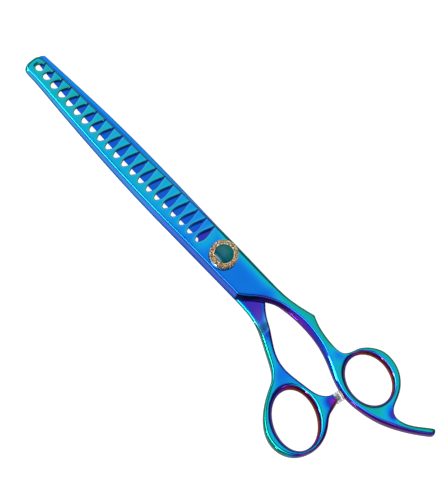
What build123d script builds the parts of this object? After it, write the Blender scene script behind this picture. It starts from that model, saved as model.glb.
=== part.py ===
from build123d import *
from math import cos, pi, radians, sin
import os

# Thinning shears, lying closed on their back, in millimetres.
# The origin is on the pivot axis, in the plane of the back that the shears lie on. Each piece is
# drawn about the ride plane, where the two halves meet, and raised into place when it is written.
# +Y runs to the blade tips, +X to the finger ring's side, +Z out of the front, the dial's side.

# Driving dimensions
half_thickness = 3.0       # each half at the pivot, and each side of a handle from the ride plane
ride_gap = 0.04            # each half stands this far off the ride plane
blade_tip = 117.4          # pivot to the tip of the toothed blade
blade_tip_thickness = 2.0  # toothed blade at the tip

tooth_gap_count = 21
tooth_pitch = 5.02
first_gap_y = 112.9        # gap nearest the tip
gap_half_height = 1.62
gap_drop = 0.85            # how much lower a gap's sharp end is than its round end
slit_half_width = 0.11     # the hairline between two tooth heads

finger_handle_round = 1.0  # rounding of the edges of each half
thumb_handle_round = 0.6
ramp_start_y = -28.6       # each half thickens from a flat plate to a full handle here
ramp_end_y = -37.0

finger_ring_centre = (7.97, -80.87)
finger_ring_radii = (11.83, 9.23)
finger_ring_turn = 79      # long axis, in degrees from +X
thumb_ring_centre = (-27.58, -72.04)
thumb_ring_radii = (13.62, 9.48)
thumb_ring_turn = 61

bolt_radius = 2.5
bolt_head_radius = 4.5
bolt_head_height = 1.1
bolt_key_width = 4.4       # across the flats that stop the bolt turning in the straight half
bolt_key_radius = 3.1
spanner_hole_offset = 2.8  # two blind holes in the head, for a pin spanner
spanner_hole_radius = 0.6
spanner_hole_depth = 0.6
thread_radius = 2.0
thread_flats = 3.2         # across the two flats along the threaded end
thread_inset = 0.15        # the threaded end stops this far under the top of the dial
running_clearance = 0.025
slip_clearance = 0.03
bush_radius = 3.5

ride_washer_radii = (3.9, 6.2)
ride_recess = 0.45         # depth of the washer's seat in each ride face

dial_radius = 6.3
dial_bottom = 3.4
dial_top = 4.75
dial_recess_radius = 5.2
dial_recess_top = 4.05
dial_chamfer = 0.15
knurl_count = 36
knurl_radius = 0.22
thrust_washer_radius = 6.2
washer_top = dial_bottom - 0.03
spring_radius = 4.8        # disc spring and click plate
spring_bore = 2.3
spring_strip = 0.14        # thickness of the disc spring's metal
spring_rise = 0.22         # height of its cone
click_plate_low = washer_top + spring_rise + spring_strip + 0.01
click_plate_thickness = 0.15
click_count = 24
click_circle = 3.8
click_dimple = 0.32        # radius of the click plate's bumps and of the dial's notches

bezel_lip = 0.55           # how far the bezel reaches in under the gem
bezel_seat = 0.3           # heights on the bezel, from the top of the dial
bezel_rim = 0.35
bezel_channel = 0.6
bezel_crown = 0.75
collar_height = 1.0
collar_wall = 0.25
stone_count = 20
stone_radius = 0.72
stone_circle = 5.35
stone_crown = 0.38         # height of a stone above its girdle, and depth below it
stone_back = 0.3
gem_radius = 4.25
gem_clearance = 0.03
gem_girdle = 0.35          # height of the gem's straight side
gem_top = 6.5
foil_thickness = 0.1

bumper_radius = 2.45
bumper_angle = -10         # direction in which the bumper points, in degrees from +X
bumper_root = (-8.9, -77.0)
bumper_length = 3.95
bumper_start = 0.45        # the boss face is rounded, so the barrel starts clear of it
bumper_round = 0.5
bumper_screw_radius = 1.0
bumper_screw_end = -3.0    # places along the bumper's axis, from the boss face
bumper_head_radius = 1.5
bumper_head_low = 1.6
bumper_head_high = 2.6


def curve(*points, **ends):
    """One smooth stretch of an outline."""
    return Spline(*points, **ends)


def toothed_outline():
    """Outline of the toothed half: blade, pivot plate, shank, finger ring and tang."""
    lower_corner = (-9.3, -16.6)
    spine_end = (-5.1, 114.8)
    nose = (-2.0, blade_tip)
    edge_start = (4.05, 115.0)
    shoulder = (10.55, -45.2)
    tang_outer = (13.3, -115.4)
    tang_inner = (10.3, -116.5)
    with BuildLine() as outline:
        curve(lower_corner, (-9.4, -8), (-9.35, 10), (-9.35, 30), (-8.8, 55), (-7.75, 75),
              (-6.4, 95), (-5.6, 105), spine_end)
        curve(spine_end, (-4.4, 116.3), nose, (0.6, 117.3), (2.8, 116.9), edge_start)
        curve(edge_start, (4.95, 95), (5.6, 75), (6.6, 48), (7.1, 25), (7.4, 5), (7.3, -10),
              (7.1, -22), (7.45, -31), (8.4, -37), (9.6, -42), shoulder)
        curve(shoulder, (9.3, -48), (8.3, -51.2), (7.35, -57), (7.1, -62), (7.9, -65.2),
              (10.2, -66.9), (14, -68.2), (18.4, -71.7), (21.1, -76.6), (21.3, -82.5),
              (19.6, -87.6), (15.3, -92.7), (11.2, -95.1), (6.9, -97.2), (5.0, -99.6),
              (5.1, -103.4), (8.2, -109.2), tang_outer)
        ThreePointArc(tang_outer, (12.2, -116.9), tang_inner)
        curve(tang_inner, (6.6, -112), (1.9, -105), (-1.6, -98), (-3.9, -90.4), (-4.95, -82),
              (-4.35, -75.6), (-2.6, -70.1), (-0.1, -64.3), (2.1, -58), (3.4, -51.1),
              (3.75, -45), (3.4, -38), (2.1, -31.8), (0.3, -28.2), (-2.7, -24.1),
              (-4.8, -21.8), (-7.4, -19.2), lower_corner)
    return make_face(outline.line)


def straight_outline():
    """Outline of the straight half: blade, pivot plate, shank, thumb ring and bumper boss."""
    heel = (-1.75, 13)
    edge_end = (1.7, 114.6)
    spine_end = (6.15, 114.9)
    boss_top = (-8.2, -75.0)
    boss_bottom = (-9.35, -79.0)
    with BuildLine() as outline:
        curve(heel, (-1.85, 33), (-1.45, 53), (-1.0, 73), (-0.1, 93), (0.75, 106), edge_end)
        curve(edge_end, (2.9, 116.5), (4.4, 116.3), spine_end)
        curve(spine_end, (7.0, 100), (8.0, 80), (8.5, 55), (8.3, 30), (8.0, 12), (7.7, -3),
              (6.5, -14), (4.4, -20.2), (1.9, -24), (-0.93, -27.1), (-4.25, -31.1),
              (-8, -37.1), (-12.5, -44.1), (-14.9, -50.1), (-15.35, -55), (-14.8, -60.1),
              (-13.9, -66), (-12.7, -70.8), (-10.9, -73.4), boss_top)
        Line(boss_top, boss_bottom)
        curve(boss_bottom, (-12, -79.7), (-15, -80.6), (-19.3, -83.7), (-26.5, -87.0),
              (-34.2, -86.3), (-39.9, -82.5), (-42.6, -76.6), (-42.0, -69.8), (-37.4, -62.6),
              (-30.6, -57.2), (-26.3, -54.8), (-22.8, -52.9), (-20, -49.9), (-17.3, -45.1),
              (-12.6, -35.8), (-10.6, -31), (-9.4, -25), (-9.05, -17), (-8.9, -5),
              (-8.0, 3), (-5.3, 9), heel)
    return make_face(outline.line)


def ring_hole(centre, radii, turn):
    hole = Rot(0, 0, turn) * Ellipse(radii[0], radii[1])
    return Pos(centre[0], centre[1], 0) * hole


def rounded_plate(outline, hole, rounding):
    """A full thickness plate of the outline with its ring hole and rounded edges."""
    plate = extrude(outline - hole, amount=half_thickness, both=True)
    rims = plate.edges().group_by(Axis.Z)
    return fillet(rims[-1] + rims[0], rounding)


def lap_cut(side):
    """What is cut away from the far side of a half, so that the other half can lie there.

    It ends in a hollow ramp, where the flat plate thickens to a full handle."""
    rise = half_thickness + 0.5
    beyond = blade_tip + 20
    run = ramp_start_y - ramp_end_y
    middle_y = ramp_start_y - 0.62 * run
    middle_z = 0.36 * rise
    with BuildLine() as section:
        Polyline((ramp_start_y, -ride_gap), (beyond, -ride_gap), (beyond, rise), (ramp_end_y, rise))
        ThreePointArc((ramp_end_y, rise), (middle_y, middle_z), (ramp_start_y, -ride_gap))
    block = extrude(Plane.YZ * make_face(section.line), amount=40, both=True)
    return block if side > 0 else mirror(block, about=Plane.XY)


def tooth_gap(number):
    """One leaf shaped gap between two teeth, with the hairline that runs out between heads."""
    y = first_gap_y - number * tooth_pitch
    along = min(1.0, (first_gap_y - y) / 65)
    root_x = -1.4 - 2.8 * along * (2 - along)
    point_x = 3.5 + 2.5 * along * (1.6 - 0.6 * along)
    length = point_x - root_x
    shape = [(0.07, 0.55), (0.2, 0.9), (0.38, 1.0), (0.62, 0.7), (0.85, 0.3)]

    def at(share, height):
        return (root_x + share * length, y - share * gap_drop + height * gap_half_height)

    slit = slit_half_width / gap_half_height
    with BuildLine() as leaf:
        upper = [at(0, 0)] + [at(s, h) for s, h in shape] + [at(1, slit)]
        lower = [at(0, 0)] + [at(s, -h) for s, h in shape] + [at(1, -slit)]
        curve(*upper, tangents=((0, 1), (1, -0.3)))
        Line(at(1, slit), at(2.5, slit))
        Line(at(2.5, slit), at(2.5, -slit))
        Line(at(2.5, -slit), at(1, -slit))
        curve(*lower, tangents=((0, -1), (1, 0.2)))
    return extrude(make_face(leaf.line), amount=2 * half_thickness, both=True)


def blade_bevels(stations, side):
    """Tool that trims a blade's outer side to its section.

    Each station gives y and the section's outer corners (x, z), from the spine's wall over the
    ridge to the edge. The tool fills all that lies outside those corners."""
    sections = []
    for y, corners in stations:
        outer = [(x, side * z) for x, z in corners]
        first, last = outer[0], outer[-1]
        top = side * (half_thickness + 2)
        loop = [(first[0] - 4, first[1])] + outer + [(last[0] + 4, last[1])]
        loop += [(last[0] + 4, top), (first[0] - 4, top)]
        wire = Polyline(*[(x, y, z) for x, z in loop], close=True)
        sections.append(make_face(wire))
    return loft(sections, ruled=True)


def toothed_stations():
    """Sections of the toothed blade: wall, spine bevel, broad face, tooth end bevel.

    The plan's rows hold y, the spine's x, the edge's x and the width of the spine bevel."""
    plan = [(120, -4.9, 3.6, 1.5), (95, -6.4, 4.95, 1.7), (60, -8.6, 6.15, 2.1),
            (20, -9.4, 7.2, 2.4), (8, -9.4, 7.35, 2.5)]
    stations = []
    for y, spine, edge, bevel in plan:
        share = (120 - y) / 112
        crown = blade_tip_thickness + (half_thickness - blade_tip_thickness) * share
        face = crown - 0.35
        tooth = 0.75 * crown - 0.2
        corners = [(spine, 0.5 * crown), (spine + bevel, crown), (edge - 0.8, face),
                   (edge, tooth)]
        stations.append((y, corners))
    return stations


def straight_stations():
    """Sections of the straight blade: thin cutting edge, hollow side, ridge, spine bevel.

    The plan's rows hold y, the edge's x, the spine's x and the width of the spine bevel."""
    plan = [(120, 2.0, 6.0, 1.2), (93, -0.1, 7.4, 1.6), (60, -1.3, 8.4, 2.0),
            (30, -1.85, 8.3, 2.3), (12, -1.75, 8.0, 2.4)]
    stations = []
    for y, edge, spine, bevel in plan:
        share = (120 - y) / 108
        crown = blade_tip_thickness + (half_thickness - blade_tip_thickness) * share
        corners = [(edge, 0.15), (edge + 0.5 * (spine - edge - bevel), 0.66 * crown),
                   (spine - bevel, crown), (spine, 0.5 * crown)]
        stations.append((y, corners))
    return stations


def cylinder(radius, low, high):
    return Pos(0, 0, low) * extrude(Circle(radius), amount=high - low)


def keyed(radius, across, low, high):
    """A round bar with two parallel flats."""
    profile = Circle(radius) & Rectangle(3 * radius, across)
    return Pos(0, 0, low) * extrude(profile, amount=high - low)


def toothed_half():
    hole = ring_hole(finger_ring_centre, finger_ring_radii, finger_ring_turn)
    half = rounded_plate(toothed_outline(), hole, finger_handle_round)
    half -= lap_cut(-1)
    half -= blade_bevels(toothed_stations(), 1)
    for number in range(tooth_gap_count):
        half -= tooth_gap(number)
    half -= cylinder(bush_radius, -1, half_thickness + 1)
    half -= cylinder(ride_washer_radii[1] + slip_clearance, 0, ride_recess)
    return half


def straight_half():
    hole = ring_hole(thumb_ring_centre, thumb_ring_radii, thumb_ring_turn)
    half = rounded_plate(straight_outline(), hole, thumb_handle_round)
    half -= lap_cut(1)
    half -= blade_bevels(straight_stations(), -1)
    head_top = -half_thickness + bolt_head_height
    half -= cylinder(bolt_head_radius + slip_clearance, -half_thickness - 1, head_top)
    half -= keyed(bolt_key_radius + slip_clearance, bolt_key_width + 2 * slip_clearance,
                  head_top - 1, 1)
    half -= cylinder(ride_washer_radii[1] + slip_clearance, -ride_recess, 0)
    return half - bumper_screw_hole()


def pivot_bolt():
    head_top = -half_thickness + bolt_head_height
    bolt = cylinder(bolt_head_radius, -half_thickness, head_top)
    bolt += keyed(bolt_key_radius, bolt_key_width, head_top, -ride_recess)
    bolt += cylinder(bolt_radius, -ride_recess, half_thickness)
    bolt += keyed(thread_radius, thread_flats, half_thickness, dial_top - thread_inset)
    spanner_hole = cylinder(spanner_hole_radius, -half_thickness - 1,
                            -half_thickness + spanner_hole_depth)
    for x in (-spanner_hole_offset, spanner_hole_offset):
        bolt -= Pos(x, 0, 0) * spanner_hole
    return bolt


def pivot_bush():
    bush = cylinder(bush_radius, ride_gap, half_thickness)
    return bush - cylinder(bolt_radius + running_clearance, -1, half_thickness + 1)


def ride_washer():
    inner, outer = ride_washer_radii
    washer = cylinder(outer, -ride_recess, ride_recess)
    return washer - cylinder(inner, -1, 1)


def keyed_hole():
    """Hole that slips over the bolt's flatted end without turning on it."""
    return keyed(thread_radius + slip_clearance, thread_flats + 2 * slip_clearance,
                 half_thickness - 1, dial_top)


def thrust_washer():
    return cylinder(thrust_washer_radius, half_thickness, washer_top) - keyed_hole()


def disc_spring():
    """A shallow cone of spring steel, standing on its outer rim."""
    inner_low = washer_top + spring_rise
    with BuildLine() as section:
        Polyline((spring_bore, 0, inner_low), (spring_bore, 0, inner_low + spring_strip),
                 (spring_radius, 0, washer_top + spring_strip), (spring_radius, 0, washer_top),
                 (spring_bore, 0, inner_low))
    return revolve(make_face(section.line), axis=Axis.Z)


def click_plate():
    """Thin plate keyed to the bolt, with two bumps that click in the dial's notches."""
    top = click_plate_low + click_plate_thickness
    plate = cylinder(spring_radius, click_plate_low, top)
    ball = Pos(0, 0, dial_recess_top - click_dimple) * Sphere(click_dimple)
    bump = ball & cylinder(2 * click_dimple, top, dial_recess_top)
    for turn in (0, 180):
        plate += Rot(0, 0, turn) * Pos(click_circle, 0, 0) * bump
    return plate - keyed_hole()


def dial_nut():
    nut = cylinder(dial_radius, dial_bottom, dial_top)
    nut = chamfer(nut.edges().group_by(Axis.Z)[0], dial_chamfer)
    nut -= cylinder(dial_recess_radius, dial_bottom - 1, dial_recess_top)
    nut -= cylinder(thread_radius + running_clearance, dial_bottom - 1, dial_top + 1)
    groove = Pos(dial_radius + 0.4 * knurl_radius, 0, 0) * cylinder(knurl_radius, dial_bottom - 1,
                                                                    dial_top + 1)
    for number in range(knurl_count):
        nut -= Rot(0, 0, number * 360 / knurl_count) * groove
    for number in range(click_count):
        notch = Pos(click_circle, 0, dial_recess_top) * Sphere(click_dimple)
        nut -= Rot(0, 0, number * 360 / click_count) * notch
    return nut


def dial_bezel():
    """Stepped ring: an outer channel for the small stones and a raised collar round the gem."""
    bore = gem_radius - bezel_lip
    collar = gem_radius + gem_clearance
    corners = [(bore, 0), (dial_radius, 0), (dial_radius, bezel_rim),
               (dial_radius - 0.2, bezel_rim + 0.2), (collar + collar_wall + 0.04, bezel_crown),
               (collar + collar_wall, collar_height), (collar, collar_height),
               (collar, bezel_seat), (bore, bezel_seat)]
    with BuildLine() as section:
        Polyline(*[(radius, 0, dial_top + height) for radius, height in corners], close=True)
    bezel = revolve(make_face(section.line), axis=Axis.Z)
    for number in range(stone_count):
        bezel -= place_stone(number) * cylinder(stone_radius + 0.01, -stone_back, 2)
    return bezel


def place_stone(number):
    turn = number * 360 / stone_count
    return Rot(0, 0, turn) * Pos(stone_circle, 0, dial_top + bezel_channel)


def bezel_stones():
    """Small round stones: pointed back, eight sided crown, flat table."""
    stones = []
    for number in range(stone_count):
        girdle = RegularPolygon(stone_radius, 8)
        table = Pos(0, 0, stone_crown) * RegularPolygon(stone_radius * 0.55, 8)
        back = Pos(0, 0, -stone_back) * RegularPolygon(stone_radius * 0.6, 8)
        stone = loft([girdle, table], ruled=True) + loft([back, girdle], ruled=True)
        stones.append(place_stone(number) * stone)
    return Compound(children=stones)


def gem_foil():
    low = dial_top + bezel_seat
    return cylinder(gem_radius, low, low + foil_thickness)


def gem_cabochon():
    """Domed stone: short straight girdle under a spherical cap."""
    low = dial_top + bezel_seat + foil_thickness
    girdle = low + gem_girdle
    rise = gem_top - girdle
    radius = (gem_radius**2 + rise**2) / (2 * rise)
    dome = Pos(0, 0, gem_top - radius) * Sphere(radius)
    return cylinder(gem_radius, low, gem_top + 1) & (dome + cylinder(gem_radius, low, girdle))


def along_bumper(shape):
    """Puts a shape built along +Z onto the bumper's axis, starting at the boss face."""
    plane = Plane(origin=(bumper_root[0], bumper_root[1], 0),
                  z_dir=(cos(radians(bumper_angle)), sin(radians(bumper_angle)), 0))
    return plane * shape


def bumper_screw_hole():
    return along_bumper(cylinder(bumper_screw_radius + 0.02, bumper_screw_end - 0.2, 2))


def bumper_screw():
    shank = cylinder(bumper_screw_radius, bumper_screw_end, bumper_head_low)
    return along_bumper(shank + cylinder(bumper_head_radius, bumper_head_low, bumper_head_high))


def bumper():
    """Clear stop: a short barrel on the boss, slightly domed where it meets the other handle."""
    body = cylinder(bumper_radius, bumper_start, bumper_length)
    body = fillet(body.edges().group_by(Axis.Z)[-1], bumper_round)
    body -= cylinder(bumper_screw_radius, -1, bumper_head_low)
    body -= cylinder(bumper_head_radius, bumper_head_low, bumper_head_high)
    return along_bumper(body)


nodes = {
    "toothed_half": toothed_half,
    "straight_half": straight_half,
    "pivot_bolt": pivot_bolt,
    "pivot_bush": pivot_bush,
    "ride_washer": ride_washer,
    "thrust_washer": thrust_washer,
    "disc_spring": disc_spring,
    "click_plate": click_plate,
    "dial_nut": dial_nut,
    "dial_bezel": dial_bezel,
    "bezel_stones": bezel_stones,
    "gem_foil": gem_foil,
    "gem_cabochon": gem_cabochon,
    "bumper": bumper,
    "bumper_screw": bumper_screw,
}

os.makedirs("parts", exist_ok=True)
for name, build in nodes.items():
    export_step(Pos(0, 0, half_thickness) * build(), f"parts/{name}.step")
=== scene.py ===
import math

import bpy
import numpy as np
from mathutils import Matrix, Vector
from mathutils.geometry import delaunay_2d_cdt
from mathutils.kdtree import KDTree


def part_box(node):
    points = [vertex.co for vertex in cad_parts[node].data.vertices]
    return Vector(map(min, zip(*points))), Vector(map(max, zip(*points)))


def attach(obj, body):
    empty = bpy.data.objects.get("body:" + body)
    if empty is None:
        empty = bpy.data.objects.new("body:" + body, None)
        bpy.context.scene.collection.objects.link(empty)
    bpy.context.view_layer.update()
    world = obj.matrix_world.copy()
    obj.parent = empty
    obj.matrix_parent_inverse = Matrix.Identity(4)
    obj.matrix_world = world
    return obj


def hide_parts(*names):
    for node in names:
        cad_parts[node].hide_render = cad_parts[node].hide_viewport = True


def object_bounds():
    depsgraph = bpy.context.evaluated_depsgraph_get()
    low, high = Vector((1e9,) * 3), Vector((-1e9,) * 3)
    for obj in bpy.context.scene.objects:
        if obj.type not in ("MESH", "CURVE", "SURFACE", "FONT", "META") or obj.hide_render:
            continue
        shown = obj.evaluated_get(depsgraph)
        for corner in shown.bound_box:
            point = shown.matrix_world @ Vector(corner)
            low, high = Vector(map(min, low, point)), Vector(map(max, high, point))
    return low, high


# Thinning shears. The frame's axes: +Y to the blade tips, +X to the finger ring, +Z out of the
# front. The shapes below are worked out in millimetres and stored in metres.

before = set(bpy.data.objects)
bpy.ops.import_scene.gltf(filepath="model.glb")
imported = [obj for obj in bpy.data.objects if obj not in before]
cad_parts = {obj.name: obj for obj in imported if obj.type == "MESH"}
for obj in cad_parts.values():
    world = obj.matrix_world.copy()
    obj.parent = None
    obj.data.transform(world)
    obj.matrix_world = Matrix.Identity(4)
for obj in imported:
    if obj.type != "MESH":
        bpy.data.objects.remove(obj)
cad_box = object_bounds()
MM = 0.001

# ---------------------------------------------------------------- sizes, from the frame

TOOTHED_LOW, TOOTHED_HIGH = [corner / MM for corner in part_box("toothed_half")]
RIDE_Z = (TOOTHED_LOW.z + TOOTHED_HIGH.z) / 2
HALF = TOOTHED_HIGH.z - RIDE_Z     # thickness of a half; heights below are from the ride plane
TIP_Y = TOOTHED_HIGH.y
BUMPER_MIDDLE = (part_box("bumper")[0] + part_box("bumper")[1]).xy / 2 / MM
BUMPER_WAY = (math.cos(math.radians(-10)), math.sin(math.radians(-10)))    # out of the boss
BOSS_REACH = 3.1                   # the boss's end face lies this near the bumper's middle
SCREW_SLOT_REACH = 8               # the screw's hole ends nearer the bumper's middle than this
SCREW_SLOT_HALF = 1.15             # half the width that is cleared of the hole's outline
RIDE_GAP = 0.04                    # each half stands off the ride plane by this
RAMP_START = -0.243 * TIP_Y        # a flat plate thickens to a full handle from here
RAMP_RUN = 8.4
SWELL = 1.75                       # how far in from its edge a handle reaches most of its height
RING_SLOPE = 2.3                   # how far out from a finger hole its rounded wall rises
RING_LIP = 0.4                     # half height of the upright lip at a finger hole
RING_EXTRA = 0.2                   # keeps the wall's top clear of the handle beyond it
RING_BLEND = 0.35                  # rounding between a handle and the wall of its hole
WALL = 1.3                         # half height of a handle's upright side
CROWN_TIP = 2.0                    # blade thickness at the tip
BEVEL_SLOPE = 0.84                 # of the long bevel along the toothed half's left side
CREASE = 0.42                      # rounding of a bevel's ridge

STEP = 0.36                        # along an outline
GRID = 0.5                         # between points inside it
EDGE_ROWS = [0.06, 0.18, 0.36, 0.62, 0.95, 1.35, 1.8, 2.3]
RIDGE_ROWS = [(0.35, 0), (0.6, 0), (1, -0.45), (1, -0.22), (1, -0.08), (1, 0.06), (1, 0.2),
              (1, 0.42), (1, 0.75), (1, 1.15)]     # share of the ridge's distance, and beyond it
ROW_KEPT = 0.985                   # a row's point stays if it is this share of its inset away
GRID_ROOM = 0.62                   # least room for a grid point, in grid steps
ON_EDGE = 0.002                    # nearer than this, a point counts as on the outline
RING_LENGTH = 40                   # outlines longer than this are finger holes
SHARP = math.radians(55)           # edges that turn more than this are shaded as sharp

# ---------------------------------------------------------------- outlines of the halves


def section_loops(node, height):
    """Closed outlines of a CAD node at a height, in millimetres, the longest first."""
    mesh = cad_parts[node].data
    mesh.calc_loop_triangles()
    points = np.empty(len(mesh.vertices) * 3)
    mesh.vertices.foreach_get("co", points)
    corners = np.empty(len(mesh.loop_triangles) * 3, int)
    mesh.loop_triangles.foreach_get("vertices", corners)
    points, same = np.unique(points.reshape(-1, 3) / MM, axis=0, return_inverse=True)
    triangles = same.ravel()[corners].reshape(-1, 3)
    above = points[:, 2] > RIDE_Z + height
    count = above[triangles].sum(1)
    near = {}
    for triangle in triangles[(count == 1) | (count == 2)]:
        ups = [v for v in triangle if above[v]]
        downs = [v for v in triangle if not above[v]]
        a, b = [(up, down) for up in ups for down in downs]
        near.setdefault(a, []).append(b)
        near.setdefault(b, []).append(a)
    loops = []
    while near:
        here = next(iter(near))
        loop = []
        while here is not None:
            up, down = points[here[0]], points[here[1]]
            share = (RIDE_Z + height - down[2]) / (up[2] - down[2])
            loop.append((down + share * (up - down))[:2])
            onward = [edge for edge in near.pop(here) if edge in near]
            here = onward[0] if onward else None
        if len(loop) > 2:
            loops.append(np.array(loop))
    return sorted(loops, key=loop_length, reverse=True)


def loop_length(loop):
    return float(np.linalg.norm(np.roll(loop, -1, 0) - loop, axis=1).sum())


def turn_angles(loop):
    """How far the outline turns at each point, in degrees."""
    before = loop - np.roll(loop, 1, 0)
    after = np.roll(loop, -1, 0) - loop
    cross = before[:, 0] * after[:, 1] - before[:, 1] * after[:, 0]
    along = (before * after).sum(1)
    return np.degrees(np.arctan2(cross, along))


def clean_loop(loop):
    """Without repeated points and the points that lie on a straight line between two others."""
    apart = np.linalg.norm(np.roll(loop, -1, 0) - loop, axis=1) > 0.004
    loop = loop[apart]
    for _ in range(3):
        loop = loop[np.abs(turn_angles(loop)) > 0.02]
    area = (loop[:, 0] * np.roll(loop[:, 1], -1) - loop[:, 1] * np.roll(loop[:, 0], -1)).sum()
    return loop if area > 0 else loop[::-1]


def curve_through(points, step):
    """Evenly spaced points on a smooth curve through the given ones, the last one left out."""
    gaps = np.linalg.norm(np.diff(points, axis=0), axis=1)
    arc = np.concatenate([[0], np.cumsum(gaps)])
    slope = np.gradient(points, arc, axis=0)
    count = max(1, int(round(arc[-1] / step)))
    at = np.linspace(0, arc[-1], count, endpoint=False)
    i = np.clip(np.searchsorted(arc, at, "right") - 1, 0, len(gaps) - 1)
    width = gaps[i][:, None]
    t = ((at - arc[i])[:, None]) / width
    p0, p1 = points[i], points[i + 1]
    m0, m1 = slope[i] * width, slope[i + 1] * width
    return ((2 * t**3 - 3 * t**2 + 1) * p0 + (t**3 - 2 * t**2 + t) * m0
            + (-2 * t**3 + 3 * t**2) * p1 + (t**3 - t**2) * m1)


def smooth_loop(loop, step, corner=24):
    """The outline again, with even steps along its curves and its corners kept."""
    loop = clean_loop(loop)
    corners = np.flatnonzero(np.abs(turn_angles(loop)) > corner)
    if len(corners) == 0:
        closed = np.vstack([loop[-4:], loop, loop[:5]])
        gaps = np.linalg.norm(np.diff(closed, axis=0), axis=1)
        fine = curve_through(closed, step)
        start = int(round(gaps[:4].sum() / gaps.sum() * len(fine)))
        end = int(round(gaps[:4 + len(loop)].sum() / gaps.sum() * len(fine)))
        return fine[start:end]
    loop = np.roll(loop, -corners[0], 0)
    marks = list(corners - corners[0]) + [len(loop)]
    closed = np.vstack([loop, loop[:1]])
    return np.vstack([curve_through(closed[a:b + 1], step) if b - a > 1
                      else straight_through(closed[a], closed[b], step)
                      for a, b in zip(marks[:-1], marks[1:])])


def straight_through(start, end, step):
    count = max(1, int(round(np.linalg.norm(end - start) / step)))
    share = np.linspace(0, 1, count, endpoint=False)[:, None]
    return start + share * (end - start)


# ---------------------------------------------------------------- a plate meshed in plan


def edges_of(loops):
    """Starts and ends of all the edges of closed loops."""
    return np.vstack(loops), np.vstack([np.roll(loop, -1, 0) for loop in loops])


def nearest_edge(points, starts, ends):
    """Distance from each point to the nearest of many short edges, and the way out from it."""
    tree = KDTree(len(starts))
    for number, middle in enumerate((starts + ends) / 2):
        tree.insert((*middle, 0), number)
    tree.balance()
    near = np.array([[found[1] for found in tree.find_n((*point, 0), 3)] for point in points])
    best = np.full(len(points), np.inf)
    way = np.zeros((len(points), 2))
    for column in near.T:
        run = (ends - starts)[column]
        reach = points - starts[column]
        share = np.clip((reach * run).sum(1) / (run * run).sum(1), 0, 1)
        off = reach - share[:, None] * run
        far = np.linalg.norm(off, axis=1)
        closer = far < best
        best[closer] = far[closer]
        way[closer] = off[closer]
    return best, way


def inside(points, loops):
    """Which points lie inside the outer loop and outside the holes, by counting crossings."""
    crossings = np.zeros(len(points), int)
    for loop in loops:
        a, b = loop, np.roll(loop, -1, 0)
        low, high = loop.min(0), loop.max(0)
        near = np.flatnonzero((points[:, 1] >= low[1]) & (points[:, 1] <= high[1])
                              & (points[:, 0] <= high[0]))
        for some in np.array_split(near, 1 + len(near) // 3000):
            x, y = points[some, 0, None], points[some, 1, None]
            spans = (a[:, 1] > y) != (b[:, 1] > y)
            rise = np.where(b[:, 1] == a[:, 1], 1, b[:, 1] - a[:, 1])
            at = a[:, 0] + (y - a[:, 1]) / rise * (b[:, 0] - a[:, 0])
            crossings[some] += (spans & (x < at)).sum(1)
    return crossings % 2 == 1


def row_beside(loop, distance, side):
    """Points beside an outline at a distance, or at a distance of their own each."""
    along = np.roll(loop, -1, 0) - np.roll(loop, 1, 0)
    normal = np.stack([-along[:, 1], along[:, 0]], 1)
    normal /= np.linalg.norm(normal, axis=1)[:, None]
    return loop + side * np.reshape(distance, (-1, 1)) * normal


def inset_rows(loops, ridge):
    """Points that follow the outlines inside the plate, and along a ridge if there is one."""
    starts, ends = edges_of(loops)
    rows = []
    for number, loop in enumerate(loops):
        side = 1 if number == 0 else -1
        left = left_part(loop) if number == 0 and ridge else np.zeros(len(loop), bool)
        for inset in EDGE_ROWS:
            row = row_beside(loop, inset, side)
            keep = ~left | (inset < 0.3)
            far, _ = nearest_edge(row[keep], starts, ends)
            rows.append(row[keep][far > ROW_KEPT * inset])
        if left.any():
            width = ridge(loop[left, 1])
            for share, beyond in RIDGE_ROWS:
                insets = np.zeros(len(loop))
                insets[left] = share * width + beyond
                row = row_beside(loop, insets, side)[left]
                far, _ = nearest_edge(row, starts, ends)
                rows.append(row[far > ROW_KEPT * insets[left]])
    rows = np.vstack(rows)
    return rows[inside(rows, loops)]


def left_part(loop):
    """Which points of an anticlockwise outline lie between its top and its bottom."""
    top, bottom = np.argmax(loop[:, 1]), np.argmin(loop[:, 1])
    number = np.arange(len(loop))
    if top < bottom:
        return (number >= top) & (number <= bottom)
    return (number >= top) | (number <= bottom)


def plan_mesh(loops, ridge=None):
    """Triangles that fill an outline: rows along its edges and an even grid between them."""
    low = np.min(loops[0], 0)
    high = np.max(loops[0], 0)
    gx, gy = np.meshgrid(np.arange(low[0], high[0], GRID), np.arange(low[1], high[1], GRID * 0.866))
    gx[1::2] += GRID / 2
    grid = np.stack([gx.ravel(), gy.ravel()], 1)
    grid = grid[inside(grid, loops)]
    fixed = np.vstack(loops + [inset_rows(loops, ridge)])
    tree = KDTree(len(fixed))
    for number, point in enumerate(fixed):
        tree.insert((*point, 0), number)
    tree.balance()
    room = np.array([tree.find((*point, 0))[2] for point in grid])
    grid = grid[room > GRID_ROOM * GRID]
    points = [Vector(p) for p in np.vstack([fixed, grid])]
    edges = []
    first = 0
    for loop in loops:
        count = len(loop)
        edges += [(first + i, first + (i + 1) % count) for i in range(count)]
        first += count
    verts, _, faces, _, _, _ = delaunay_2d_cdt(points, edges, [], 0, 1e-6)
    plan = np.array([tuple(v) for v in verts])
    faces = np.array([f for f in faces if len(f) == 3])
    return plan, faces[inside(plan[faces].mean(1), loops)]


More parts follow.
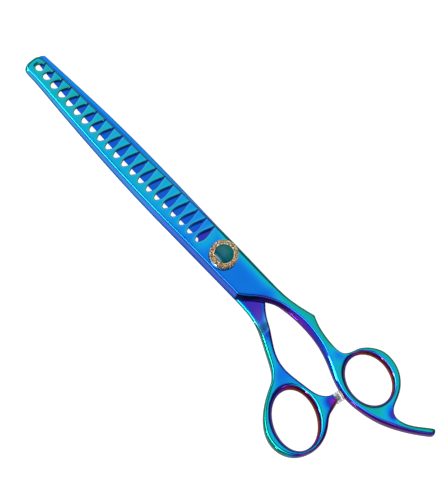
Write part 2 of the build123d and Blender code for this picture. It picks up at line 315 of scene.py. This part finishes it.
def membrane(plan, faces, held):
    """How high a soap film would blow up over the plan: zero where held, smooth inside.

    Over a strip it is half the square of a circle's height, so its root makes round sections."""
    sides = plan[faces[:, [2, 0, 1]]] - plan[faces[:, [1, 2, 0]]]
    twice = sides[:, 0, 0] * sides[:, 1, 1] - sides[:, 0, 1] * sides[:, 1, 0]
    pull = np.einsum("fik,fjk->fij", sides, sides) / (2 * twice)[:, None, None]
    flat = faces.ravel()

    def apply(values):
        local = np.einsum("fij,fj->fi", pull, values[faces])
        total = np.bincount(flat, local.ravel(), len(plan))
        return np.where(held, 0, total)

    load = np.where(held, 0, np.bincount(flat, np.repeat(twice / 6, 3), len(plan)))
    weight = np.bincount(flat, np.einsum("fii->fi", pull).ravel(), len(plan)) + 1e-9
    height = np.zeros(len(plan))
    rest = load.copy()
    step = rest / weight
    power = rest @ step
    for _ in range(900):
        lift = apply(step)
        share = power / (step @ lift)
        height += share * step
        rest -= share * lift
        if np.abs(rest).max() < 1e-7:
            break
        eased = rest / weight
        power, last = rest @ eased, power
        step = eased + power / last * step
    return height


def plate_object(name, plan, faces, top, bottom, fields):
    """A closed mesh between two height fields over the same plan, with named point values."""
    count = len(plan)
    verts = np.vstack([np.column_stack([plan, top]), np.column_stack([plan, bottom])])
    verts = (verts + (0, 0, RIDE_Z)) * MM
    a = faces[:, [0, 1, 2]].ravel()
    b = faces[:, [1, 2, 0]].ravel()
    one_way = a.astype(np.int64) * count + b
    rim = ~np.isin(one_way, b.astype(np.int64) * count + a)
    walls = np.stack([b[rim], a[rim], a[rim] + count, b[rim] + count], 1)
    polygons = faces.tolist() + (faces[:, ::-1] + count).tolist() + walls.tolist()
    mesh = bpy.data.meshes.new(name)
    mesh.from_pydata(verts.tolist(), [], polygons)
    mesh.validate()
    for field, values in fields.items():
        data = mesh.attributes.new(field, "FLOAT", "POINT").data
        data.foreach_set("value", np.concatenate([values, values]).astype(np.float32))
    mesh.polygons.foreach_set("use_smooth", [True] * len(mesh.polygons))
    mesh.set_sharp_from_angle(angle=SHARP)
    obj = bpy.data.objects.new(name, mesh)
    bpy.context.scene.collection.objects.link(obj)
    return obj


# ---------------------------------------------------------------- heights of the halves


def ease(value, start, end):
    """0 before start, 1 after end, smooth between them."""
    t = np.clip((value - start) / (end - start), 0, 1)
    return t * t * (3 - 2 * t)


def mix(a, b, share):
    return a * (1 - share) + b * share


def soft_min(a, b, width):
    """The smaller of two heights, with the crease between them rounded."""
    overlap = np.clip(0.5 + 0.5 * (b - a) / width, 0, 1)
    return mix(b, a, overlap) - width * overlap * (1 - overlap)


def soft_positive(value, width):
    """The value where it is above zero, else zero, with the crease rounded."""
    return 0.5 * (value + np.sqrt(value * value + width * width))


def bump(plan, centre, reach):
    """1 at a place in plan, falling off smoothly around it."""
    away = ((plan - centre) ** 2).sum(1)
    return np.exp(-away / reach**2)


def side_of_blade(loop, sign, start):
    """The outline's outermost x on one side, as a smooth function of y from start on."""
    ys = np.arange(start, TIP_Y - 2.5, 1.0)
    xs = []
    for y in ys:
        band = loop[np.abs(loop[:, 1] - y) < 2.8]
        xs.append(band[:, 0].max() if sign > 0 else band[:, 0].min())
    fit = np.polyfit(ys, xs, 5)
    return lambda y: np.polyval(fit, np.clip(y, start, TIP_Y - 3))


def blade_crown(y):
    """Blade thickness along its length."""
    return mix(CROWN_TIP, HALF, np.clip((TIP_Y - y) / (TIP_Y - 8), 0, 1))


def handle_share(y):
    """0 on the flat pivot plate, 1 on the round handle."""
    return ease(-y, 20, 34)


def ramp(y):
    """Distance from the ride plane of the face that thickens towards the handle."""
    t = np.clip((RAMP_START - y) / RAMP_RUN, 0, 1.3)
    return RIDE_GAP - (HALF + 0.55) * t * t


def round_height(film):
    """Height of a handle's rounded section, from the membrane over its outline."""
    width = np.sqrt(2 * np.maximum(film, 0))
    return WALL + (HALF - WALL) * width / (width**3 + SWELL**3) ** (1 / 3)


def ring_wall(to_ring):
    """Height of the rounded wall that leads down into a finger hole."""
    rise = np.sin(np.clip(to_ring / RING_SLOPE, 0, 1) * math.pi / 2)
    return RING_LIP + (HALF - RING_LIP) * rise + RING_EXTRA * ease(to_ring, 2, 4)


def ridge_width(y):
    """How far the toothed half's long ridge runs inside its left outline, along the shears."""
    stations = [(-116, 0.9), (-108, 1.3), (-95, 1.25), (-82, 1.15), (-74, 1.3), (-66, 1.8),
                (-56, 2.1), (-45, 2.3), (-38, 2.0), (-30, 1.7), (-22, 1.9), (-12, 2.3), (10, 2.3),
                (60, 1.95), (TIP_Y - 4, 1.45), (TIP_Y, 0.9)]
    places, widths = zip(*stations)
    return np.interp(y, places, widths)


class Half:
    """What the height and film formulas of one half share: its plan and measures over it."""

    def __init__(self, outer, holes, ridge=None, free=None):
        self.outer = outer
        self.loops = [outer] + holes
        self.plan, self.faces = plan_mesh(self.loops, ridge)
        self.x, self.y = self.plan.T
        rings = [loop for loop in holes if loop_length(loop) > RING_LENGTH]
        self.to_ring, _ = nearest_edge(self.plan, *edges_of(rings))
        self.to_outer, self.out_way = nearest_edge(self.plan, *edges_of([outer]))
        left = left_part(outer)
        starts, ends = edges_of([outer])
        both = left & np.roll(left, -1)
        self.to_left, _ = nearest_edge(self.plan, starts[both], ends[both])
        self.to_right, _ = nearest_edge(self.plan, starts[~both], ends[~both])
        held = nearest_edge(self.plan, *edges_of([outer] + rings))[0] < ON_EDGE
        if free is not None:
            held &= ~free(self.plan)
        swell = round_height(membrane(self.plan, self.faces, held))
        self.swell = soft_min(swell, ring_wall(self.to_ring), RING_BLEND)


def toothed_heights(half, tips):
    x, y = half.x, half.y
    crown = blade_crown(y)
    width = ridge_width(y)
    beyond = half.to_left - width
    bevel = crown - BEVEL_SLOPE * soft_positive(-beyond, CREASE)
    fall = 0.55 * handle_share(y + 4) * (1 - np.exp(-soft_positive(beyond, 0.3) / 3.5))
    from_tips = tips(y) - x
    plain_side = 0.66 + 0.34 * np.clip(from_tips / 1.3, 0, 1)
    tooth_side = 0.58 + 0.27 * np.clip(from_tips / 0.8, 0, 1) + 0.012 * np.clip(from_tips, 0, 12)
    edge_side = mix(plain_side, tooth_side, ease(y, 1, 24))
    nose = crown * (0.5 + 0.5 * np.clip(half.to_outer / 1.1, 0, 1))
    blade = np.minimum(bevel, crown * edge_side)
    blade = np.where(y > TIP_Y - 3, np.minimum(blade, nose), blade)
    blade = blade - 0.14 * (1 - np.clip(half.to_outer / 0.36, 0, 1)) ** 2 * ease(y, 6, 9)
    handle = soft_min(half.swell, bevel - fall, 0.5)
    top = mix(blade, handle, handle_share(y))
    bottom = np.maximum(-half.swell, ramp(y))
    return np.maximum(top, bottom + 0.1), bottom


def straight_heights(half, spine, edge):
    x, y = half.x, half.y
    crown = blade_crown(y)
    bevel = mix(2.3, 1.3, np.clip(y / TIP_Y, 0, 1))
    from_spine = mix(half.to_outer, spine(y) - x, ease(y, 8, 14))
    spine_side = 0.5 + 0.5 * np.clip(from_spine / bevel, 0, 1)
    width = spine(y) - bevel - edge(y)
    u = 1 - np.clip((x - edge(y)) / width, 0, 1)
    edge_side = mix(1.0, 0.08 + 0.92 * (1 - u * u), ease(y, 9, 15))
    blade = crown * np.minimum(spine_side, edge_side)
    nose = crown * (0.3 + 0.7 * np.clip(half.to_outer / 1.1, 0, 1))
    blade = np.where(y > TIP_Y - 4, np.minimum(blade, nose), blade)
    bottom = -mix(blade, half.swell, handle_share(y))
    broken = 0.5 * (1 - np.clip(half.to_outer / 1.0, 0, 1)) ** 2 * ease(-y, 12, 18)
    spine_edge = 0.2 * (1 - np.clip((spine(y) - x) / 0.3, 0, 1)) * ease(y, 8, 14)
    top = soft_min(half.swell, -ramp(y) - broken - spine_edge, 0.9 * ease(-y, 26, 31) + 1e-3)
    return np.maximum(top, bottom + 0.08), bottom


# The film's colour runs along one number: 0 green, 0.2 cyan, 0.3 azure, 0.5 navy, 0.6 violet,
# 0.7 magenta, 0.8 red, 1 gold. Place sets it here, and the surface's slope adds to it.


def toothed_film(half, tips):
    x, y = half.x, half.y
    film = mix(0.19, 0.27, ease(-y, -112, -60))
    film = mix(film, 0.385, ease(-y, -45, 2))
    film = mix(film, 0.095, ease(-y, 24, 33))
    border = np.exp(-(half.to_right / 3.2) ** 2) * ease(-y, -16, -2)
    film = film - 0.24 * border * (1 - handle_share(y))
    # Painted shading: each tooth's side just above the next gap is tinted greener, as light falling
    # across the tooth's crown would show it.
    under = ease(half.out_way[:, 1] / (half.to_outer + 1e-6), -0.3, 0.6)
    painted_shading = np.exp(-half.to_outer / 0.9) * ease(y, 8, 14) * (half.to_left > 3)
    film = film - 0.13 * under * painted_shading
    film = film + 0.06 * ease(tips(y) - x, 1.6, 0.4) * ease(y, 8, 14)
    film = film + 0.2 * bump(half.plan, (6.0, -64.5), 4.2)
    film = film + 0.3 * bump(half.plan, (6.2, -99.0), 4.8) + 0.3 * bump(half.plan, (4.6, -99.6), 2.0)
    return film


def straight_film(half, spine):
    x, y = half.x, half.y
    film = mix(0.44, 0.54, ease(-y, -18, -11))
    film = mix(film, 0.575, ease(-y, 8, 18))
    # Painted light: the ride face's strip beside the spine, which the gaps do not shade, is tinted a
    # lighter azure.
    film = film - 0.1 * ease(spine(y) - x, 2.0, 1.3) * ease(y, 12, 16)
    plate = ease(-y, 10, 22) * ease(y, -42, -36)
    film = mix(film, 0.18, ease(-y, 35, 43))
    film = film - 0.34 * np.exp(-(half.to_right / 1.4) ** 2) * plate
    film = film - 0.4 * np.exp(-(half.to_left / 1.2) ** 2) * plate
    film = film + 0.42 * bump(half.plan, (-10.3, -77.2), 3.4)
    film = film + 0.16 * bump(half.plan, (-19, -54), 6)
    film = film + 0.12 * ease(-y, 78, 88)
    return film


def painted_sheen_edges(half):
    """Painted sheen on the toothed half: its steel is blended paler along the long bevel and the gaps'
    rims, as a painted highlight.
    """
    beyond = half.to_left - ridge_width(half.y)
    inside_edge = ease(-half.to_left, -0.25, -0.5)
    bevel = 0.09 * ease(-beyond, 0.2, 0.7) * inside_edge * (1 - handle_share(half.y))
    rims = 0.15 * np.exp(-half.to_outer / 0.25) * ease(half.y, 8, 11) * (half.to_left > 3)
    return bevel + rims


def plate_sheen_and_patch(half):
    """Painted sheen low on the straight half's plate, blending its steel paler, and a paler patch
    beside the last gap.
    """
    low = 0.05 * ease(-half.y, 24, 34) * ease(half.y, -38, -34)
    return low + 0.5 * bump(half.plan, (7.2, 10.8), 1.5)


def inner_wall(half):
    """1 at the ring hole's edge, falling off over the rounded shoulder beside it."""
    return np.exp(-(half.to_ring / 2.1) ** 4)


def build_half(piece, node, half, heights, film, turn, sheen_and_pale_patch):
    """Rebuilds one half of the shears over the outline of its CAD node."""
    top, bottom = heights
    fields = {"film": film, "turn": turn, "sheen_and_pale_patch": sheen_and_pale_patch, "inner": inner_wall(half)}
    obj = plate_object(piece, half.plan, half.faces, top, bottom, fields)
    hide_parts(node)
    return obj


def toothed_forging():
    loops = [smooth_loop(loop, STEP) for loop in section_loops("toothed_half", 0.6)]
    holes = [loop for loop in loops[1:] if loop_length(loop) > 4]
    half = Half(loops[0], holes, ridge=ridge_width)
    tips = side_of_blade(half.outer, 1, -14)
    near_tooth = np.exp(-half.to_outer / 0.3) * ease(half.y, 8, 11) * (half.to_left > 3)
    turn = mix(0.26, 1.25, handle_share(half.y)) * (1 - near_tooth)
    obj = build_half("toothed_forging", "toothed_half", half, toothed_heights(half, tips),
                     toothed_film(half, tips), turn, painted_sheen_edges(half))
    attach(obj, "toothed_side")
    return obj


def without_screw_hole(loop):
    """The outline without the slot that the bumper's screw hole cuts in it."""
    away = loop - BUMPER_MIDDLE
    along = away @ np.array(BUMPER_WAY)
    across = np.abs(away @ np.array((-BUMPER_WAY[1], BUMPER_WAY[0])))
    return loop[(along > 0) | (along < -SCREW_SLOT_REACH) | (across > SCREW_SLOT_HALF)]


def straight_forging():
    outer = smooth_loop(without_screw_hole(section_loops("straight_half", -0.1)[0]), STEP)
    ring = [smooth_loop(loop, STEP) for loop in section_loops("straight_half", -1.5)[1:]
            if loop_length(loop) > RING_LENGTH]
    bore = [smooth_loop(loop, STEP) for loop in section_loops("straight_half", -2.5)[1:]
            if np.linalg.norm(loop.mean(0)) < 3]

    def boss_face(plan):
        return np.linalg.norm(plan - BUMPER_MIDDLE, axis=1) < BOSS_REACH

    half = Half(outer, ring + bore, free=boss_face)
    spine = side_of_blade(outer, 1, -14)
    edge = side_of_blade(outer, -1, 14)
    turn = mix(0.3, 1.1, handle_share(half.y))
    obj = build_half("straight_forging", "straight_half", half, straight_heights(half, spine, edge),
                     straight_film(half, spine), turn, plate_sheen_and_patch(half))
    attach(obj, "straight_side")
    return obj


toothed = toothed_forging()
straight = straight_forging()

# ---------------------------------------------------------------- materials


class Nodes:
    """Short calls for building a node tree."""

    def __init__(self, owner):
        owner.use_nodes = True
        self.owner = owner
        self.tree = owner.node_tree
        self.shader = self.tree.nodes.get("Principled BSDF") or self.tree.nodes["Background"]

    def add(self, kind, **settings):
        node = self.tree.nodes.new(kind)
        for key, value in settings.items():
            setattr(node, key, value)
        return node

    def feed(self, value, socket):
        if isinstance(value, bpy.types.NodeSocket):
            self.tree.links.new(value, socket)
        else:
            socket.default_value = value

    def math(self, operation, a, b=0.0, clamp=False):
        node = self.add("ShaderNodeMath", operation=operation, use_clamp=clamp)
        for value, socket in zip((a, b), node.inputs):
            self.feed(value, socket)
        return node.outputs[0]

    def plus(self, *values):
        total = values[0]
        for value in values[1:]:
            total = self.math("ADD", total, value)
        return total

    def times(self, a, b):
        return self.math("MULTIPLY", a, b)

    def range(self, value, start, end, low=0.0, high=1.0):
        node = self.add("ShaderNodeMapRange", interpolation_type="SMOOTHSTEP")
        for each, socket in zip((value, start, end, low, high), node.inputs):
            self.feed(each, socket)
        return node.outputs[0]

    def ramp(self, value, stops, kind="B_SPLINE"):
        node = self.add("ShaderNodeValToRGB")
        node.color_ramp.interpolation = kind
        while len(node.color_ramp.elements) < len(stops):
            node.color_ramp.elements.new(0.5)
        for element, (place, colour) in zip(node.color_ramp.elements, stops):
            element.position = place
            element.color = (*colour, 1) if isinstance(colour, tuple) else (colour,) * 3 + (1,)
        self.feed(value, node.inputs[0])
        return node.outputs[0]

    def blend(self, share, a, b, kind="MIX"):
        node = self.add("ShaderNodeMix", data_type="RGBA", blend_type=kind)
        for value, name in ((share, 0), (a, 6), (b, 7)):
            if not isinstance(value, bpy.types.NodeSocket) and name > 0:
                value = (*value, 1)
            self.feed(value, node.inputs[name])
        return node.outputs[2]

    def noise(self, scale, detail=2.0, roughness=0.5):
        coords = self.add("ShaderNodeTexCoord")
        node = self.add("ShaderNodeTexNoise")
        node.inputs["Scale"].default_value = scale
        node.inputs["Detail"].default_value = detail
        node.inputs["Roughness"].default_value = roughness
        self.feed(coords.outputs["Object"], node.inputs["Vector"])
        return node.outputs["Fac"]

    def split(self, name):
        """x, y and z of one of the shaded point's vectors, such as Object or Normal."""
        coords = self.add("ShaderNodeTexCoord")
        split = self.add("ShaderNodeSeparateXYZ")
        self.feed(coords.outputs[name], split.inputs[0])
        return split.outputs

    def split_colour(self, colour):
        """The red share of a colour."""
        split = self.add("ShaderNodeSeparateColor")
        self.feed(colour, split.inputs[0])
        return split.outputs[0]

    def value(self, name):
        """A point value stored in the mesh."""
        return self.add("ShaderNodeAttribute", attribute_name=name).outputs["Fac"]

    def set(self, **values):
        for name, value in values.items():
            self.feed(value, self.shader.inputs[name.replace("_", " ")])


FILM = [(0.0, (0.0, 0.3, 0.2)), (0.1, (0.0, 0.41, 0.4)), (0.2, (0.0, 0.45, 0.66)),
        (0.3, (0.0, 0.24, 0.82)), (0.4, (0.0, 0.09, 0.66)), (0.5, (0.01, 0.02, 0.36)),
        (0.6, (0.11, 0.015, 0.56)), (0.7, (0.3, 0.02, 0.34)), (0.8, (0.3, 0.012, 0.05)),
        (0.9, (0.55, 0.13, 0.03)), (1.0, (0.85, 0.55, 0.28))]


def rainbow_steel(name, thicker):
    """Polished steel under a thin titanium film, whose colour turns with place and slope.

    The film is thicker on sides that face one way, the way given in plan, and thickest on the
    walls inside the finger rings."""
    n = Nodes(bpy.data.materials.new(name))
    nx, ny, nz = n.split("Normal")
    _, _, z = n.split("Object")
    side = n.plus(n.times(nx, thicker[0]), n.times(ny, thicker[1]))
    turn = n.times(n.value("turn"), n.range(side, -0.45, 0.8, -0.1, 0.5))
    patches = n.times(n.math("SUBTRACT", n.noise(45.0, 1.0), 0.5), 0.08)
    film = n.plus(n.value("film"), turn, patches, -0.06)
    low = n.range(z, (RIDE_Z + 2.6) * MM, (RIDE_Z - 1) * MM)
    facing = n.range(nx, 0.1, -0.55, 0.5, 0.78)
    wall = n.plus(facing, n.times(low, 0.16), n.times(patches, 2.0))
    steep = n.range(n.math("ABSOLUTE", nz), 0.93, 0.76)
    inner = n.times(steep, n.value("inner"))
    film = n.math("ADD", n.times(film, n.math("SUBTRACT", 1.0, inner)), n.times(wall, inner), True)
    # The film's colour is blended towards pale blue-white by a stored point value: a painted sheen on
    # the bevels, rims and plate, and a paler patch beside the last gap.
    colour = n.blend(n.value("sheen_and_pale_patch"), n.ramp(film, FILM), (0.7, 0.8, 1.0))
    polish = n.range(n.noise(300.0, 3.0), 0.3, 0.7, 0.07, 0.12)
    n.set(Base_Color=colour, Metallic=1.0, Roughness=polish, Coat_Weight=0.15, Coat_Roughness=0.05)
    return n.owner


def simple_metal(name, colour, roughness, streak=0.12):
    n = Nodes(bpy.data.materials.new(name))
    light = tuple(min(1, c * (1 + streak)) for c in colour)
    dark = tuple(c * (1 - streak) for c in colour)
    n.set(Base_Color=n.blend(n.noise(900.0, 4.0), dark, light), Metallic=1.0,
          Roughness=n.range(n.noise(1500.0, 3.0), 0.3, 0.7, roughness * 0.8, roughness * 1.25))
    return n.owner


def nylon():
    n = Nodes(bpy.data.materials.new("nylon"))
    n.set(Base_Color=n.blend(n.noise(700.0), (0.8, 0.8, 0.77), (0.9, 0.9, 0.88)), Roughness=0.45)
    return n.owner


STONES = 20
GEM_EDGE = 0.0043                  # metres from the gem's middle to its rim


def crystals():
    """Small foiled stones in champagne, amber and white, each its own tint, with painted glints:
    facets dark or bright by their normal.
    """
    n = Nodes(bpy.data.materials.new("champagne_crystal"))
    x, y, _ = n.split("Object")
    turn = n.math("ARCTAN2", y, x)
    step = n.math("FLOOR", n.plus(n.times(turn, STONES / (2 * math.pi)), 0.5))
    pick = n.math("FRACT", n.times(step, 0.377))
    nx, ny, _ = n.split("Normal")
    # Painted glint: each facet is darkened or lit by the way its normal points, as reflections would.
    painted_glint = n.times(n.plus(n.math("SINE", n.plus(n.times(nx, 9.0), n.times(ny, 7.0))), 1.0), 0.5)
    body = n.ramp(pick, [(0.0, (0.5, 0.22, 0.06)), (0.35, (0.98, 0.8, 0.5)), (0.7, (1.0, 0.96, 0.88)),
                         (1.0, (0.6, 0.34, 0.12))])
    n.set(Base_Color=n.blend(painted_glint, (0.05, 0.02, 0.008), body), Metallic=0.7, Roughness=0.08,
          Coat_Weight=1.0, Coat_Roughness=0.03)
    return n.owner


def gold_painted_sparkle():
    """Gold plate between the stones, with painted sparkle: small cells painted as lit or shaded beads.
    """
    n = Nodes(bpy.data.materials.new("gold_painted_sparkle"))
    painted_sparkle = n.add("ShaderNodeTexVoronoi")
    painted_sparkle.inputs["Scale"].default_value = 1500
    n.feed(n.add("ShaderNodeTexCoord").outputs["Object"], painted_sparkle.inputs["Vector"])
    painted_shading = n.split_colour(painted_sparkle.outputs["Color"])
    # Painted sparkle: each small cell takes a tone from near black to near white gold, as beads
    # catching light and shade would.
    tone = n.ramp(painted_shading, [(0.0, (0.12, 0.05, 0.015)), (0.35, (0.62, 0.38, 0.12)),
                          (0.7, (0.95, 0.72, 0.36)), (1.0, (1.0, 0.93, 0.78))])
    n.set(Base_Color=tone, Metallic=1.0, Roughness=n.range(painted_shading, 0.0, 1.0, 0.12, 0.25))
    return n.owner


def teal_gem():
    """Domed teal stone with painted shade dark at the rim, and a painted glow lighter on one side,
    where light would gather under the dome.
    """
    n = Nodes(bpy.data.materials.new("teal_cabochon"))
    x, y, _ = n.split("Object")
    out = n.math("SQRT", n.plus(n.times(x, x), n.times(y, y)))
    share = n.range(out, 0.0, GEM_EDGE)
    tone = n.ramp(share, [(0.0, (0.0, 0.09, 0.13)), (0.75, (0.0, 0.075, 0.11)),
                          (1.0, (0.0, 0.03, 0.05))])
    # Painted glow: the stone's colour is lighter towards +X, as light gathered under the dome would
    # make it.
    painted_glow = n.range(n.plus(n.times(x, 0.85), n.times(y, -0.1)), -0.0025, 0.0038)
    tone = n.blend(n.times(painted_glow, 0.75), tone, (0.0, 0.19, 0.19))
    cloud = n.times(n.noise(500.0, 3.0), 0.3)
    n.set(Base_Color=n.blend(cloud, tone, (0.0, 0.11, 0.15)), Roughness=0.08, Specular_IOR_Level=0.3)
    return n.owner


def clear_plastic():
    n = Nodes(bpy.data.materials.new("clear_plastic"))
    n.set(Base_Color=n.blend(n.noise(400.0), (0.93, 0.93, 0.92), (0.98, 0.98, 0.98)), Roughness=0.12,
          Transmission_Weight=0.85, IOR=1.45)
    return n.owner


def dress(node, material):
    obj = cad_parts[node] if isinstance(node, str) else node
    obj.data.materials.clear()
    obj.data.materials.append(material)
    if isinstance(node, str):
        obj.data.polygons.foreach_set("use_smooth", [True] * len(obj.data.polygons))
        obj.data.set_sharp_from_angle(angle=math.radians(28))


front_steel = rainbow_steel("rainbow_titanium_front", (-0.8, -0.6))
rear_steel = rainbow_steel("rainbow_titanium_rear", (0.55, -0.84))
dress(toothed, front_steel)
dress(straight, rear_steel)
dress("toothed_half", front_steel)
dress("straight_half", rear_steel)
gold = simple_metal("gold_plate", (0.83, 0.58, 0.24), 0.16)
steel = simple_metal("turned_steel", (0.6, 0.6, 0.62), 0.25)
dress("dial_nut", gold)
dress("dial_bezel", gold_painted_sparkle())
for node in ("pivot_bolt", "disc_spring", "click_plate"):
    dress(node, steel)
dress("pivot_bush", simple_metal("bush_bronze", (0.6, 0.4, 0.18), 0.3))
dress("gem_foil", simple_metal("foil", (0.8, 0.82, 0.82), 0.08))
dress("bumper_screw", simple_metal("dark_steel", (0.1, 0.09, 0.09), 0.3))
white = nylon()
for node in ("ride_washer", "thrust_washer"):
    dress(node, white)
dress("bezel_stones", crystals())
dress("gem_cabochon", teal_gem())
dress("bumper", clear_plastic())

# ---------------------------------------------------------------- floor, light and camera

FLOOR_Z = cad_box[0][2]
LEAN = math.radians(15)              # the camera leans towards -X
DROP = math.radians(6)               # and towards the handles
TURN = math.radians(44.4)            # and is turned, so that the blades point up and left
FIELD = 0.2125                       # height of the view on the object, in metres
DISTANCE = 6.0


def add_camera():
    side = Vector((math.cos(LEAN), 0, math.sin(LEAN)))
    back = Vector((-math.sin(LEAN) * math.cos(DROP), -math.sin(DROP), math.cos(LEAN) * math.cos(DROP)))
    along = back.cross(side)
    right = math.cos(TURN) * side - math.sin(TURN) * along
    up = math.sin(TURN) * side + math.cos(TURN) * along
    target = Vector((0, 0, RIDE_Z * MM)) + 0.00057 * right + 0.0030 * up
    data = bpy.data.cameras.new("camera")
    data.sensor_width = 36
    data.lens = 36 * DISTANCE / FIELD
    data.clip_end = 10
    camera = bpy.data.objects.new("camera", data)
    turn = Matrix((right, up, back)).transposed()
    camera.matrix_world = Matrix.Translation(target + back * DISTANCE) @ turn.to_4x4()
    bpy.context.scene.collection.objects.link(camera)
    bpy.context.scene.camera = camera
    return right, up, back


def add_floor():
    mesh = bpy.data.meshes.new("floor")
    size = 3.0
    corners = [(-size, -size, 0), (size, -size, 0), (size, size, 0), (-size, size, 0)]
    mesh.from_pydata(corners, [], [(0, 1, 2, 3)])
    floor = bpy.data.objects.new("floor", mesh)
    floor.location.z = FLOOR_Z - 0.0002
    n = Nodes(bpy.data.materials.new("pale_floor"))
    path = n.add("ShaderNodeLightPath").outputs
    seen = n.math("MAXIMUM", path["Is Camera Ray"], path["Is Transmission Ray"])
    glow = n.plus(n.times(seen, 0.85), 0.12)     # reflected in the steel, the floor is much darker
    n.set(Base_Color=n.blend(n.noise(3.0), (0.24, 0.24, 0.24), (0.26, 0.26, 0.26)), Roughness=0.9,
          Emission_Color=(1, 1, 1, 1), Emission_Strength=glow)
    mesh.materials.append(n.owner)
    bpy.context.scene.collection.objects.link(floor)


def add_panel(name, place, size, power):
    data = bpy.data.lights.new(name, "AREA")
    data.shape = "RECTANGLE"
    data.size, data.size_y = size
    data.energy = power
    lamp = bpy.data.objects.new(name, data)
    lamp.location = place
    lamp.rotation_euler = (-Vector(place)).to_track_quat("-Z", "Y").to_euler()
    bpy.context.scene.collection.objects.link(lamp)


def add_world():
    """A light tent: brightness by direction, across from -X to +X and along from -Y to +Y."""
    world = bpy.data.worlds.new("studio")
    bpy.context.scene.world = world
    n = Nodes(world)
    x, y, z = n.split("Generated")
    turn = 1 / math.pi
    across = n.plus(n.times(n.math("ARCTAN2", x, z), turn), 0.5)     # 0 at -X, 0.5 above, 1 at +X
    along = n.plus(n.times(n.math("ARCTAN2", y, z), turn), 0.5)
    side = n.ramp(across, [(0.0, 0.3), (0.16, 0.3), (0.2, 0.22), (0.22, 0.04), (0.26, 0.04),
                           (0.28, 1.0), (0.39, 1.0), (0.41, 0.05), (0.48, 0.05), (0.52, 0.33),
                           (0.68, 0.36), (0.75, 0.2), (0.86, 0.06), (1.0, 0.06)], "LINEAR")
    ends = n.ramp(along, [(0.0, 0.5), (0.14, 0.5), (0.18, 0.12), (0.3, 0.15), (0.42, 0.3), (0.48, 0.9),
                          (0.56, 1.0), (0.75, 1.0), (0.8, 0.5), (1.0, 0.3)],
                  "LINEAR")
    strip = n.times(n.range(across, 0.32, 0.34), n.range(across, 0.37, 0.35))
    bright = n.plus(3.0, n.times(strip, 13.0))
    n.set(Color=n.blend(1.0, side, ends, "MULTIPLY"), Strength=bright)


right, up, back = add_camera()
add_floor()
add_world()
add_panel("window", tuple(-0.78 * right + 0.63 * back), (0.09, 0.09), 2)
add_panel("small_window", tuple(-0.58 * right - 0.61 * up + 0.54 * back), (0.06, 0.06), 0.8)
bpy.context.scene.view_settings.view_transform = "Standard"
